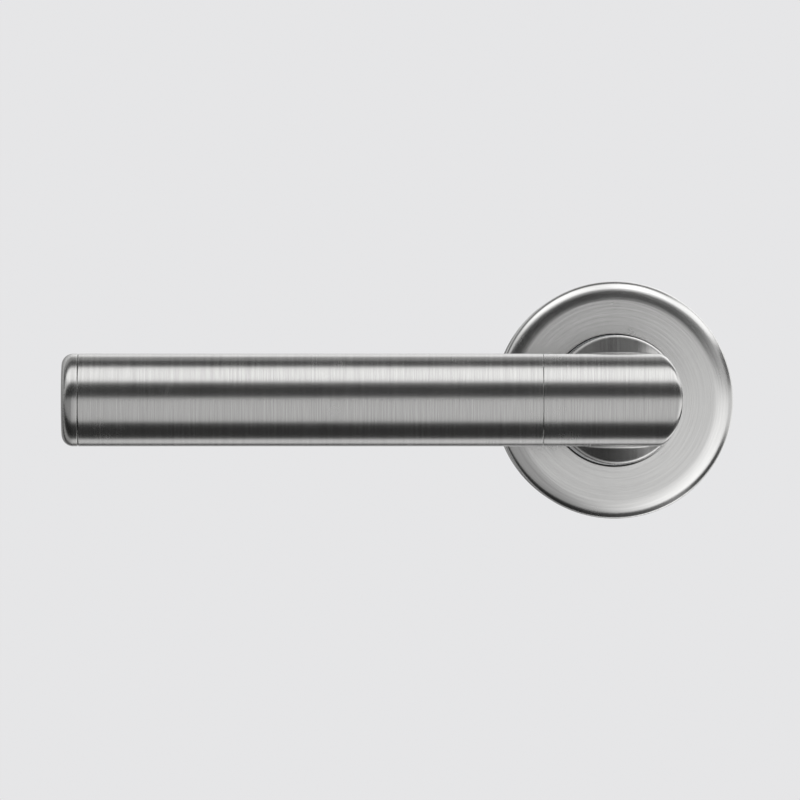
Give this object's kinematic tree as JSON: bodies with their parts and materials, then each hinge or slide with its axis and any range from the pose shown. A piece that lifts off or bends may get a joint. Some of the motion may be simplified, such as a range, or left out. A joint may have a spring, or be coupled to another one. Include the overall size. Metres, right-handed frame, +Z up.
{
  "type": "door lever handle",
  "caption": "Straight round-bar lever handles in satin steel on round roses, with spindle, spring return and through-bolts for both sides of a door.",
  "frame": {"origin": "on the spindle's axis, halfway through the door's thickness", "axes": "+Y along the spindle from the outer handle to the inner one, +Z up on a hung door, and +X away from the levers' free ends, towards the door's lock edge"},
  "size_m": [0.146, 0.164, 0.052],
  "materials": {
    "satin_steel": "fine satin brush",
    "zinc_casting": "as die cast, tumbled",
    "plated_steel": "bright zinc plated",
    "spring_steel": "drawn and oiled",
    "black_steel": "black oxide",
    "nylon": "moulded, matt"
  },
  "bodies": {
    "mount": {"outer_mounting_plate": "zinc_casting", "outer_bearing_bush": "nylon", "outer_spring_lid": "plated_steel", "outer_snap_ring": "spring_steel", "outer_return_spring_upper": "spring_steel", "outer_return_spring_lower": "spring_steel", "inner_mounting_plate": "zinc_casting", "inner_bearing_bush": "nylon", "inner_spring_lid": "plated_steel", "inner_snap_ring": "spring_steel", "inner_return_spring_upper": "spring_steel", "inner_return_spring_lower": "spring_steel", "through_bolt_left": "plated_steel", "through_bolt_right": "plated_steel", "threaded_sleeve_left": "plated_steel", "threaded_sleeve_right": "plated_steel"},
    "levers": {"outer_lever_neck": "satin_steel", "outer_grip_tube": "satin_steel", "outer_grip_end_cap": "satin_steel", "outer_set_screw": "black_steel", "outer_spring_driver": "plated_steel", "outer_circlip": "black_steel", "outer_thrust_washer": "plated_steel", "inner_lever_neck": "satin_steel", "inner_grip_tube": "satin_steel", "inner_grip_end_cap": "satin_steel", "inner_set_screw": "black_steel", "inner_spring_driver": "plated_steel", "inner_circlip": "black_steel", "inner_thrust_washer": "plated_steel", "spindle": "plated_steel"},
    "outer_cover": {"outer_rose_cover": "satin_steel", "outer_guide_ring": "nylon"},
    "inner_cover": {"inner_rose_cover": "satin_steel", "inner_guide_ring": "nylon"}
  },
  "joints": [
    {"name": "lever_turn", "type": "hinge", "parent": "mount", "child": "levers", "pos_m": [0, 0, 0], "axis": [0, -1, 0], "range_deg": [0, 45], "stiffness_Nm_per_rad": 1, "springref_deg": -34.38, "deforming": ["outer_return_spring_upper", "outer_return_spring_lower", "inner_return_spring_upper", "inner_return_spring_lower"]},
    {"name": "outer_cover_slide", "type": "slide", "parent": "mount", "child": "outer_cover", "axis": [0, -1, 0], "range_m": [0, 0.03]},
    {"name": "inner_cover_slide", "type": "slide", "parent": "mount", "child": "inner_cover", "axis": [0, 1, 0], "range_m": [0, 0.03]}
  ]
}
